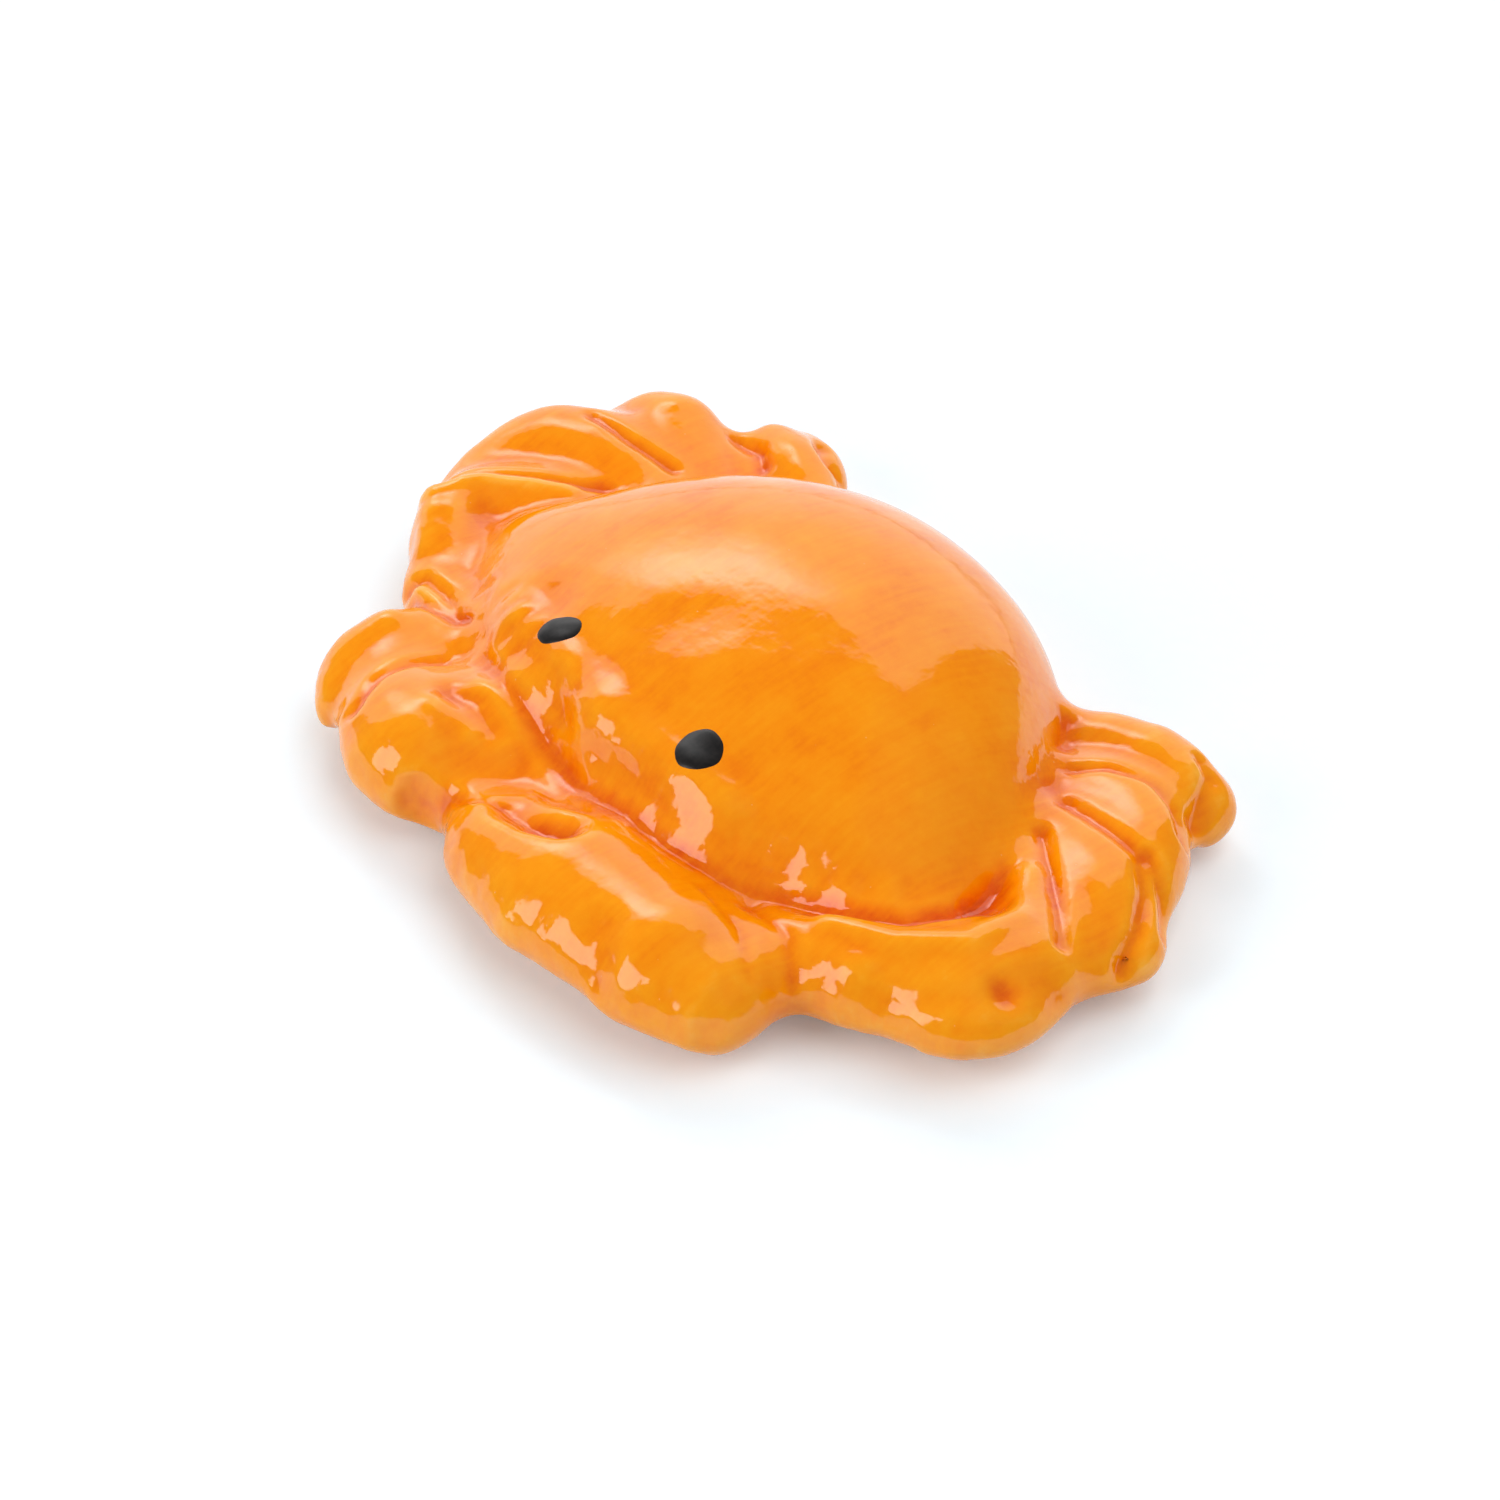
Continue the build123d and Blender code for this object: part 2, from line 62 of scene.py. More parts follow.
# %% Camera
azimuth = math.radians(53.57)
elevation = math.radians(40)
distance = 0.7
target = Vector((-2.5, 0, 0)) * MM
film_width = 36
picture_width = 1500
pixels_per_mm = 8.7
away = Vector((
    math.sin(azimuth) * math.cos(elevation),
    -math.cos(azimuth) * math.cos(elevation),
    math.sin(elevation),
))
camera_data = bpy.data.cameras.new("camera")
camera_data.sensor_width = film_width
camera_data.lens = film_width * pixels_per_mm * distance / MM / picture_width
camera = bpy.data.objects.new("camera", camera_data)
scene.collection.objects.link(camera)
camera.matrix_world = (
    Matrix.Translation(target + away * distance) @ away.to_track_quat("Z", "Y").to_matrix().to_4x4()
)
scene.camera = camera
print("lens in mm:", round(camera_data.lens, 1))

# %% [markdown]
# ## One soft form
# Clay limbs have no joints. If each solid were only given a shader, every meeting line would be a
# sharp crease. So copies of all the clay solids are put in one mesh, a plug closes the casting vent
# a few millimetres up so that the hollow inside doesn't count, and a voxel remesh turns the lot
# into one even skin.
#
# The valleys between real clay limbs are shallow. Swelling the skin by a few millimetres, fusing it
# again and shrinking it back by as much fills every narrow valley with a round floor and leaves the
# rest where it was. The same trick is called closing when it is done to a picture.

# %% Fuse copies of the clay solids
eye_nodes = ("left_eye", "right_eye")
clay_nodes = sorted(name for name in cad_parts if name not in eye_nodes)
same_spot = 1e-6
vent_place = Vector((0, 13, 0)) * MM
plug_radius = 4.5 * MM
plug_thickness = 4 * MM
plug_height = 5 * MM

lump = bmesh.new()
for name in clay_nodes:
    lump.from_mesh(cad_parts[name].data)
bmesh.ops.remove_doubles(lump, verts=lump.verts, dist=same_spot)
bmesh.ops.create_cone(
    lump, cap_ends=True, segments=32, radius1=plug_radius, radius2=plug_radius, depth=plug_thickness,
    matrix=Matrix.Translation(vent_place + Vector((0, 0, plug_height))),
)
lump_mesh = bpy.data.meshes.new("lump")
lump.to_mesh(lump_mesh)
lump.free()

voxel = 0.42 * MM
valley_fill = 2.4 * MM
form = bpy.data.objects.new("form", lump_mesh)
scene.collection.objects.link(form)


def fuse():
    """Adds a voxel remesh to the form, which fuses whatever overlaps."""
    step = form.modifiers.new("fuse", "REMESH")
    step.mode = "VOXEL"
    step.voxel_size = voxel


def swell(amount):
    """Adds a step that moves the form's skin outwards, or inwards by a negative amount."""
    step = form.modifiers.new("swell", "DISPLACE")
    step.mid_level = 0
    step.strength = amount


def soften(rounds):
    """Adds smoothing to the form."""
    step = form.modifiers.new("soften", "SMOOTH")
    step.factor = 0.5
    step.iterations = rounds


fuse()
swell(valley_fill)
fuse()
soften(rounds=4)
swell(-valley_fill)
fuse()
soften(rounds=10)
skin = bpy.data.meshes.new_from_object(form.evaluated_get(bpy.context.evaluated_depsgraph_get()))
bpy.data.objects.remove(form)
print("skin:", len(skin.vertices), "points,", len(skin.polygons), "faces")

# %% [markdown]
# ## A sponge
# A potter's sponge evens a surface: each point of the skin moves towards the mean of its neighbours.
# The points are worked on as arrays in millimetres, because a hundred thousand of them are too many
# to move one by one, and a list of each point's neighbours is made once, for all the sponging.

# %% Sponge
points = np.zeros(len(skin.vertices) * 3)
skin.vertices.foreach_get("co", points)
points = points.reshape(-1, 3) / MM
ends = np.zeros(len(skin.edges) * 2, int)
skin.edges.foreach_get("vertices", ends)
ends = ends.reshape(-1, 2)
starts = np.concatenate([ends[:, 0], ends[:, 1]])
others = np.concatenate([ends[:, 1], ends[:, 0]])
order = np.argsort(starts, kind="stable")
others = others[order]
degree = np.bincount(starts, minlength=len(points))
firsts = np.concatenate([[0], np.cumsum(degree)[:-1]])
neighbours = degree[:, None].astype(np.float32)


def sponge(values, rounds, wetness=0.5):
    """Evens values over the skin: each point moves part of the way to its neighbours' mean."""
    values = np.asarray(values, np.float32)
    for _ in range(rounds):
        mean = np.add.reduceat(values[others], firsts, axis=0) / neighbours
        values = values + wetness * (mean - values)
    return values


def outward(places):
    """The skin's outward directions when its points lie at these places."""
    skin.vertices.foreach_set("co", (places * MM).ravel())
    skin.update()
    normals = np.zeros(len(places) * 3)
    skin.vertices.foreach_get("normal", normals)
    return normals.reshape(-1, 3)


edge_lengths = np.linalg.norm(points[ends[:, 0]] - points[ends[:, 1]], axis=1)
print("mean edge in mm:", round(float(edge_lengths.mean()), 3))

# %% [markdown]
# ## A thumb
# Ridges and valleys that the solids don't have are pressed along lines, drawn on the plan in
# millimetres: +X is the crab's own left and -Y the way it faces. Each line has a reach, beyond
# which it does nothing, and a lift, which is negative for a valley. A thumb works only on the upper
# side, and fades out where the skin turns to face sideways and down.

# %% Thumb
turned_down, turned_up = -0.1, 0.35


def distance_to(line):
    """How far each point of the skin is from a line on the plan, in mm."""
    nearest = np.full(len(points), np.inf)
    for (x0, y0), (x1, y1) in zip(line, line[1:] or line):
        run = np.array([x1 - x0, y1 - y0])
        along = ((points[:, :2] - [x0, y0]) @ run) / max(run @ run, 1e-9)
        foot = np.array([x0, y0]) + np.clip(along, 0, 1)[:, None] * run
        nearest = np.minimum(nearest, np.linalg.norm(points[:, :2] - foot, axis=1))
    return nearest


def ease(values, low, high):
    """A smooth step from 0 at low to 1 at high."""
    share = np.clip((values - low) / (high - low), 0, 1)
    return share * share * (3 - 2 * share)


def thumb(line, reach, lift, straight_up=False):
    """Presses a valley, or raises a ridge, along a line on the plan."""
    global points
    facing = outward(points)
    share = lift * ease(distance_to(line), reach, 0) * ease(facing[:, 2], turned_down, turned_up)
    way = np.array([[0, 0, 1]]) if straight_up else facing
    points = points + way * share[:, None]


def pull(line, reach, way):
    """Draws the form sideways along a line on the plan, by a way in mm."""
    global points
    points = points + ease(distance_to(line), reach, 0)[:, None] * np.array(way)


def damp(share, rounds):
    """Sponges a part of the skin, by a share of 0 to 1 for each point."""
    global points
    points = points + share[:, None] * (sponge(points, rounds) - points)


def even_out(line, beyond, within, rounds):
    """Sponges along a line on the plan: wholly within some mm of it, and not at all beyond some mm."""
    damp(ease(distance_to(line), beyond, within), rounds)


def top_at(x, y):
    """The skin's height in mm at a place on the plan."""
    near = np.hypot(points[:, 0] - x, points[:, 1] - y) < 0.6
    return round(float(points[near, 2].max()), 2)


print("skin's height over the middle of the plan, in mm:", top_at(0, 0))

# %% [markdown]
# ## Evening the shell and the limbs
# Stacked outlines leave a small flat on the crown, flutes leave hard ticks at the shell's edge, and
# the limbs' solids meet in steps. None of that is on the real crab: its shell is one clean swell
# and each claw is one mitten. Long sponging evens those places and no others. One hollow by the
# right claw is filled, and the left elbow is drawn out to where the photograph shows it.

# %% Sponge the crown, the edge and the limbs
crown_starts, crown_is_whole = 17.5, 22.5
shell_left_front = [(27, -18), (34, -14), (38, -8), (38, 0)]
shell_back = [(-24, 26), (0, 28), (20, 26)]
right_claw_step = [(-16, -25), (-11, -29), (-5, -31)]
right_claw_hollow = [(-14.5, -27.5), (-10, -30.5)]
left_claw_step = [(20, -26), (20, -36), (21, -45)]
right_outer_limbs = [(-57, -4), (-51, 4), (-45, 10), (-42, 17)]
right_forearm = [(-45, -16), (-38, -21), (-30, -22.5)]
right_wrist = [(-24, -38), (-27, -31), (-26, -24)]
left_elbow = [(57, -17), (62, -9)]

damp(ease(points[:, 2], crown_starts, crown_is_whole), rounds=220)
even_out(shell_left_front, beyond=7, within=3, rounds=120)
even_out(shell_back, beyond=8, within=4, rounds=60)
even_out(right_claw_step, beyond=8, within=3, rounds=160)
thumb(right_claw_hollow, reach=6, lift=1.2)
even_out(left_claw_step, beyond=8, within=3, rounds=160)
even_out(right_outer_limbs, beyond=9, within=5, rounds=90)
even_out(right_forearm, beyond=6, within=3, rounds=60)
even_out(right_wrist, beyond=8, within=4, rounds=150)
pull(left_elbow, reach=9, way=(2.2, -1.6, 0))
print("crown at mm:", points[:, 2].max().round(2))

# %% [markdown]
# ## The brow
# The dots of the eyes are seen as flat ovals, so the shell lies almost level under them and then
# falls steeply to the groove behind the claws. A long, low swelling before the eyes does that. It
# is higher before the right eye, and the shell sinks a little on the outer side of each eye.

# %% Raise the brow
brow = [(-21, -21), (-14, -22.5), (-5, -23.5), (4, -23.8), (12, -23), (19, -21.5)]
brow_at_right_eye = [(-11, -22.8)]
right_temple = [(-19.5, -16.5)]
left_temple = [(18.5, -17)]
thumb(brow, reach=6.5, lift=1.7, straight_up=True)
thumb(brow_at_right_eye, reach=5.5, lift=0.8, straight_up=True)
thumb(right_temple, reach=6, lift=-0.8, straight_up=True)
thumb(left_temple, reach=6, lift=-0.6, straight_up=True)
print("brow's height before each eye, in mm:", top_at(12, -23), top_at(-14, -22.5))

# %% [markdown]
# ## A finger's dent and the flutes
# Where a finger steadied the wet clay between the eyes it left a wide, very shallow dent, which
# only shows as a swirl in the shell's reflections. Beside the right eye four short flutes run down
# over the edge of the shell, and three low lobes stand over the groove at its left front.

# %% Press the dent and the flutes, raise the lobes
finger_dent = [(-2.3, -9.8), (-1.3, -9.2)]
flute_middles = ((-16.5, -20.5), (-19.6, -20), (-22.7, -19.2), (-25.6, -18.2))
lobes = ((31, -17.2), (34.7, -14.6), (38.2, -11))
thumb(finger_dent, reach=7.5, lift=-0.42, straight_up=True)
for x, y in flute_middles:
    thumb([(x - 0.4, y - 2), (x + 0.4, y + 1.6)], reach=1.3, lift=-0.22)
for x, y in lobes:
    thumb([(x, y)], reach=2.6, lift=0.4)
print("height in the dent, in mm:", top_at(-1.8, -9.5))

# %% [markdown]
# ## Grooves between the limbs
# Each groove is narrow, soft-edged and about a millimetre deep. The one round the front of the
# shell is deepest at the left arm, because the arm was pressed up against it. The skin is sponged
# along each groove first, so that it is pressed into level clay. Two of the right wrist's grooves
# end in one corner, which is sponged after them so that it doesn't fold.

# %% Press the grooves
shell_edge = [
    (-26, -22), (-20.5, -24.5), (-15, -25.8), (-6.5, -26.2), (2.5, -27.6), (10.5, -27.2), (18, -26.3),
    (26, -24), (32, -19.5), (37, -16.5), (42.5, -12), (44.3, -6), (42, 0.5), (38.3, 9), (32.2, 17.5),
    (25, 24.5),
]
edge_at_left_arm = shell_edge[7:13]
grooves = {
    "left arm and front leg": [(38.7, 9.5), (43, 6.8), (49.5, 3.2), (54.4, 0)],
    "left front and middle leg": [
        (36, 15), (41.5, 15.2), (48.3, 15.6), (52.6, 13.2), (56.2, 9.2), (58, 5.5),
    ],
    "left middle and rear leg": [(31.5, 19.2), (35, 22.3), (40, 24.8), (44.5, 24.4), (47.7, 22.8)],
    "left middle foot": [(49, 16.5), (54.1, 15.1), (57, 13)],
    "left rear foot": [(38.8, 32.4), (41.3, 31.9), (43.4, 28.8), (44.8, 26.6)],
    "right palm and wrist": [(-23.8, -40), (-25.9, -35.8), (-26, -32), (-24.7, -24.2)],
    "right wrist and forearm": [(-39, -22.5), (-33.4, -22), (-27.4, -21.6)],
    "right forearm and upper arm": [(-41.8, -21.4), (-39.7, -19.7), (-35, -19.9), (-28.7, -21.3)],
    "right upper arm and front leg": [
        (-52.5, -10.5), (-50.5, -4.5), (-46.5, 0), (-43, 3.5), (-40.5, 7),
    ],
    "right front and middle leg": [(-51.2, 12.6), (-45, 13.5), (-38.9, 15.5)],
    "right middle and rear leg": [(-40.6, 26.2), (-37, 26.8), (-34.3, 25.5)],
    "right rear foot": [(-34, 34), (-32.7, 33.1), (-30, 32.6)],
}
left_front_leg = [(40, 10), (46, 10), (53, 6)]
left_middle_leg = [(40, 17), (48, 18), (55, 14)]
right_wrist_corner = [(-27, -22.4), (-24.2, -24)]
left_wrist_folds = (
    [(26, -26.8), (32.8, -27.4), (38.8, -30.4)],
    [(29, -23.6), (36, -23.2), (40.4, -26)],
)

thumb(shell_edge, reach=1.9, lift=-0.9)
thumb(edge_at_left_arm, reach=2.4, lift=-0.55)
even_out(left_front_leg, beyond=8, within=5, rounds=160)
even_out(left_middle_leg, beyond=6, within=3, rounds=60)
for line in grooves.values():
    even_out(line, beyond=5, within=2.5, rounds=35)
for line in grooves.values():
    thumb(line, reach=1.6, lift=-0.95)
even_out(right_wrist_corner, beyond=3.4, within=1.6, rounds=90)
for line in left_wrist_folds:
    even_out(line, beyond=5, within=2, rounds=60)
    thumb(line, reach=1.5, lift=-0.4)
print("grooves:", len(grooves), "floor beside the left arm at mm:", top_at(44.3, -6))

# %% [markdown]
# ## Pockets and ridges
# The open claw leaves a pocket near the tip of the left claw, with a short groove leading to it.
# The right upper arm is folded to an upturned V with a sharp crest. Two pale crests run along the
# left arm, and dents show where a finger pressed the wet clay.

# %% Press the pockets, raise the ridges
left_claw_pocket = [(1.5, -35.6), (6, -35.3), (9, -34)]
pocket_floor = [(6, -35), (9, -34)]
pocket_length = [(1.5, -35.6), (9, -34)]
pocket_groove = [(-7.5, -38.6), (-4, -37.6), (-0.2, -36)]
left_palm_dent = [(24.5, -40.5), (27, -42.5), (29, -45.5)]
left_arm_dent = [(48, -19.5), (53, -15.5), (57, -10), (58.5, -4)]
left_elbow_dimple = [(57, -10)]
right_claw_dent = [(-17.5, -31), (-14.5, -29.3), (-10.5, -30)]
right_claw_ridge = [(-16.5, -33.5), (-11.5, -32.5)]
upper_arm_crest = [(-51, -11), (-49.3, -5.6), (-45.3, -1), (-41.8, 2.6)]
upper_arm_front_crest = [(-51, -11), (-44.3, -16.3)]
forearm_crest = [(-38.7, -20.6), (-30.2, -21)]
left_arm_inner_crest = [(37.5, -19), (44.8, -15.8), (50.3, -9.5), (49, -2), (43, 4.5)]
left_arm_outer_crest = [(44, -21), (50, -17.5), (54.5, -12.5)]

thumb(left_claw_pocket, reach=3.8, lift=-2.4)
thumb(pocket_floor, reach=2.6, lift=-1.0)
even_out(pocket_length, beyond=4, within=2, rounds=12)
thumb(pocket_groove, reach=1.4, lift=-0.5)
thumb(left_palm_dent, reach=4, lift=-0.8)
thumb(left_arm_dent, reach=3.5, lift=-0.7)
thumb(left_elbow_dimple, reach=2.8, lift=-0.8)
thumb(right_claw_dent, reach=3.0, lift=-0.7)
thumb(right_claw_ridge, reach=2.6, lift=0.5)
thumb(upper_arm_crest, reach=2.0, lift=0.6)
thumb(upper_arm_front_crest, reach=2.0, lift=0.6)
thumb(forearm_crest, reach=1.8, lift=0.3)
thumb(left_arm_inner_crest, reach=2.6, lift=0.7)
thumb(left_arm_outer_crest, reach=2.4, lift=0.5)
points = sponge(points, rounds=4)
print("pocket's floor at mm:", top_at(6, -35.2), "and the left arm's crest:", top_at(50.3, -9.5))

# %% [markdown]
# ## Ripples in the set glaze
# On level places the molten glaze evened itself out. On the steep places of the front it crept, and
# set in ripples a tenth of a millimetre deep. They can hardly be felt, yet they tear every
# reflection's edge.

# %% Ripples
steep_from, level_from = 0.55, 0.92
front_starts, front_is_whole = -0.2, 0.4
ripple_length = 2.6
depth_everywhere, depth_on_steep = 0.015, 0.11

facing = outward(points)
steepness = 1 - ease(facing[:, 2], steep_from, level_from)
steepness = steepness * ease(-facing[:, 1], front_starts, front_is_whole)
ripple = np.array([
    noise.noise(Vector(spot) / ripple_length) + 0.5 * noise.noise(Vector(spot) / (ripple_length / 2))
    for spot in points
])
points = points + facing * (ripple * (depth_everywhere + depth_on_steep * steepness))[:, None]
print("skin worked, highest point in mm:", points[:, 2].max().round(2))

# %% [markdown]
# ## Where glaze pools and where it runs thin
# Fluid glaze leaves the ridges and gathers in the valleys, and this glaze is darker and redder
# where it is thick. How far a point stands above a sponged copy of the skin tells ridge from
# valley. That height is kept on the mesh as an attribute, which the material reads, unlike a
# shader's own curvature.

# %% Glaze thickness
facing = outward(points)


def relief(rounds, full, evening):
    """How far each point stands above a sponged copy of the skin: 1 or -1 at a full height in mm."""
    height = ((points - sponge(points, rounds)) * facing).sum(axis=1)
    print("relief in mm after", rounds, "rounds:", np.percentile(height, [1, 10, 50, 90, 99]).round(3))
    return sponge(np.clip((height - np.median(height)) / full, -1, 1)[:, None], evening)[:, 0]


relief_fine = relief(rounds=12, full=0.18, evening=3)
relief_broad = relief(rounds=120, full=0.60, evening=6)

# %% [markdown]
# ## Back to separate pieces
# The library wants each limb as a piece of its own. Every face of the skin goes to the CAD node
# that lies nearest, and then a few votes among neighbouring faces make the borders clean.

# %% Give every face to its node
tree_points, tree_faces, tree_names = [], [], []
for name in clay_nodes:
    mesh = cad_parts[name].data
    base = len(tree_points)
    tree_points += [v.co[:] for v in mesh.vertices]
    tree_faces += [[base + i for i in p.vertices] for p in mesh.polygons]
    tree_names += [clay_nodes.index(name)] * len(mesh.polygons)
tree = BVHTree.FromPolygons(tree_points, tree_faces)
corners = np.zeros(len(skin.polygons) * 4, int)
skin.polygons.foreach_get("vertices", corners)
corners = corners.reshape(-1, 4)
centres = points[corners].mean(axis=1) * MM
owner = np.array([tree_names[tree.find_nearest(Vector(c))[2]] for c in centres])

rounds_of_votes = 6
for _ in range(rounds_of_votes):
    votes = np.zeros((len(points), len(clay_nodes)))
    for corner in range(4):
        np.add.at(votes, (corners[:, corner], owner), 1)
    owner = votes[corners].sum(axis=1).argmax(axis=1)
print("faces a node:", dict(zip(clay_nodes, np.bincount(owner, minlength=len(clay_nodes)))))

# %% [markdown]
# ## Closed pieces
# Each patch of the skin becomes a closed shell with a wall inwards. The skin's own outward
# directions are kept as custom normals, so that light runs over the borders as if they weren't
# there, as it does on the real clay.

# %% Cut the skin into closed pieces
wall = 1.2 * MM
facing = outward(points)
skin_form = bmesh.new()
skin_form.from_mesh(skin)
skin_form.verts.ensure_lookup_table()
for layer_name, values in (("relief_fine", relief_fine), ("relief_broad", relief_broad)):
    layer = skin_form.verts.layers.float.new(layer_name)
    for vert, value in zip(skin_form.verts, values):
        vert[layer] = value
direction = skin_form.verts.layers.float_vector.new("direction")
for vert, value in zip(skin_form.verts, facing):
    vert[direction] = value
owner_layer = skin_form.faces.layers.int.new("owner")
for face, value in zip(skin_form.faces, owner):
    face[owner_layer] = value
skin_form.to_mesh(skin)
skin_form.free()


def clay_piece(index, name):
    """The patch of skin that belongs to one node, as a closed shell with the skin's shading."""
    patch = bmesh.new()
    patch.from_mesh(skin)
    layer = patch.faces.layers.int["owner"]
    spare = [face for face in patch.faces if face[layer] != index]
    bmesh.ops.delete(patch, geom=spare, context="FACES")
    direction = patch.verts.layers.float_vector["direction"]
    outer = {vert.co[:]: vert[direction].copy() for vert in patch.verts}
    patch.verts.layers.float_vector.remove(direction)
    patch.faces.layers.int.remove(layer)
    bmesh.ops.solidify(patch, geom=patch.faces[:], thickness=wall)
    patch.normal_update()
    shading = [outer.get(vert.co[:], vert.normal).copy() for vert in patch.verts]
    mesh = bpy.data.meshes.new(name + "_clay")
    patch.to_mesh(mesh)
    patch.free()
    mesh.shade_smooth()
    mesh.normals_split_custom_set_from_vertices(shading)
    piece = bpy.data.objects.new(name + "_clay", mesh)
    scene.collection.objects.link(piece)
    return piece


clay_pieces = {name: clay_piece(index, name) for index, name in enumerate(clay_nodes)}
faces_of_all = sum(len(piece.data.polygons) for piece in clay_pieces.values())
print("pieces:", len(clay_pieces), "triangles:", 2 * faces_of_all)

# %% [markdown]
# ## Colours and nodes
# Colours are written as the hex values that a picture editor shows, and one function turns them
# into the linear numbers that light is reckoned in. One small function adds a shader node.

# %% Helpers for materials


def colour(code):
    """An sRGB hex colour as linear numbers."""
    parts = [int(code[i : i + 2], 16) / 255 for i in (1, 3, 5)]
    return [x / 12.92 if x <= 0.04045 else ((x + 0.055) / 1.055) ** 2.4 for x in parts] + [1.0]


def put(tree, kind, settings=None, **links):
    """Adds a node to a tree with its settings, and feeds its inputs with links or plain values."""
    node = tree.nodes.new(kind)
    for name, value in (settings or {}).items():
        setattr(node, name, value)
    for name, value in links.items():
        key = int(name[1:]) if name[0] == "i" and name[1:].isdigit() else name.replace("_", " ")
        if isinstance(value, bpy.types.NodeSocket):
            tree.links.new(value, node.inputs[key])
        else:
            node.inputs[key].default_value = value
    return node


def blank(name):
    """A new material with an empty node tree."""
    material = bpy.data.materials.new(name)
    material.use_nodes = True
    material.node_tree.nodes.clear()
    return material, material.node_tree


def ramp(tree, value, stops):
    """A colour ramp through stops of (place, hex colour)."""
    node = put(tree, "ShaderNodeValToRGB", i0=value)
    elements = node.color_ramp.elements
    elements[0].position, elements[0].color = stops[0][0], colour(stops[0][1])
    elements[1].position, elements[1].color = stops[-1][0], colour(stops[-1][1])
    for place, code in stops[1:-1]:
        element = elements.new(place)
        element.color = colour(code)
    return node.outputs["Color"]


print("middle grey in linear numbers:", [round(x, 3) for x in colour("#808080")])

# %% [markdown]
# ## Orange glaze: its colour
# Earthenware glaze over a pale body: a clear, glassy coat stained orange, laid on by a brush and
# fired. The colour varies with thickness: yellow where it ran thin on the ridges, red where it
# pooled. The two reliefs of the skin say where that is. Clouds 8 mm wide come from uneven coats,
# and streaks 0.7 mm wide, all at one slant, are from the bristles. Real glaze also has a finer
# mottle than the one here, which is drawn 1.1 mm wide so that it shows.
#
# Gas left pin holes in the glaze. About half the cells of a pattern with cells 2.2 mm wide have
# one, drawn as a pale speck 0.2 mm wide, which is coarser than most of the real ones.

# %% Glazed earthenware, orange
cloud_width = 8 * MM
mottle_width = 1.1 * MM
streak_width = 0.7 * MM
streak_slant = math.radians(55)
pin_hole_spacing = 2.2 * MM
share_without_hole = 0.55

glaze, tree = blank("glazed_earthenware_orange")
place = put(tree, "ShaderNodeTexCoord").outputs["Object"]
fine_height = put(tree, "ShaderNodeAttribute", {"attribute_name": "relief_fine"}).outputs["Fac"]
broad_height = put(tree, "ShaderNodeAttribute", {"attribute_name": "relief_broad"}).outputs["Fac"]
cloud = put(
    tree, "ShaderNodeTexNoise", Vector=place, Scale=1 / cloud_width, Detail=4.0, Roughness=0.6,
).outputs[0]
mottle = put(
    tree, "ShaderNodeTexNoise", Vector=place, Scale=1 / mottle_width, Detail=3.0, Roughness=0.7,
).outputs[0]
turned = put(
    tree, "ShaderNodeMapping", Vector=place, Rotation=(0, 0, streak_slant), Scale=(1, 0.07, 0.3),
).outputs[0]
strokes = put(
    tree, "ShaderNodeTexNoise", Vector=turned, Scale=1 / streak_width, Detail=3.0, Roughness=0.6,
).outputs[0]
thin = 0.16
for source, gain in (
    (fine_height, 0.20), (broad_height, 0.03), (cloud, 0.40), (strokes, 0.20), (mottle, 0.14),
):
    thin = put(
        tree, "ShaderNodeMath", {"operation": "MULTIPLY_ADD"}, i0=source, i1=gain, i2=thin,
    ).outputs[0]
glaze_colour = ramp(tree, thin, (
    (0.08, "#B93600"), (0.26, "#E25A02"), (0.40, "#EF7A00"), (0.5, "#F58B00"), (0.64, "#F8990A"),
    (0.82, "#FBB03A"),
))
pin_cells = put(
    tree, "ShaderNodeTexVoronoi", Vector=place, Scale=1 / pin_hole_spacing, Randomness=1.0,
).outputs
near_pin = put(
    tree, "ShaderNodeMapRange", Value=pin_cells["Distance"], From_Min=0.05, From_Max=0.03,
).outputs[0]
pin_luck = put(tree, "ShaderNodeSeparateXYZ", Vector=pin_cells["Color"]).outputs["X"]
has_pin = put(
    tree, "ShaderNodeMath", {"operation": "GREATER_THAN"}, i0=pin_luck, i1=share_without_hole,
).outputs[0]
pin_holes = put(tree, "ShaderNodeMath", {"operation": "MULTIPLY"}, i0=near_pin, i1=has_pin).outputs[0]
speck_share = put(tree, "ShaderNodeMath", {"operation": "MULTIPLY"}, i0=pin_holes, i1=0.45).outputs[0]
glaze_colour = put(
    tree, "ShaderNodeMix", {"data_type": "RGBA"}, i0=speck_share, i6=glaze_colour, i7=colour("#FFC27A"),
).outputs[2]
print("glaze nodes so far:", len(tree.nodes))

# %% [markdown]
# ## Orange glaze: its surface
# The index of refraction is near that of glass, 1.5, and the surface is nearly mirror smooth. What
# the eye sees on it is how reflections bend: a long unevenness 5 mm wide, and on steep places a
# finer crawl 1.2 mm wide, like orange peel. The streaks and the pin holes are felt a little too.

# %% Surface of the orange glaze
unevenness_width = 5 * MM
crawl_width = 1.2 * MM
streak_depth = 0.05 * MM
pin_hole_depth = 0.05 * MM
crawl_depth = 0.25 * MM
unevenness_depth = 0.5 * MM

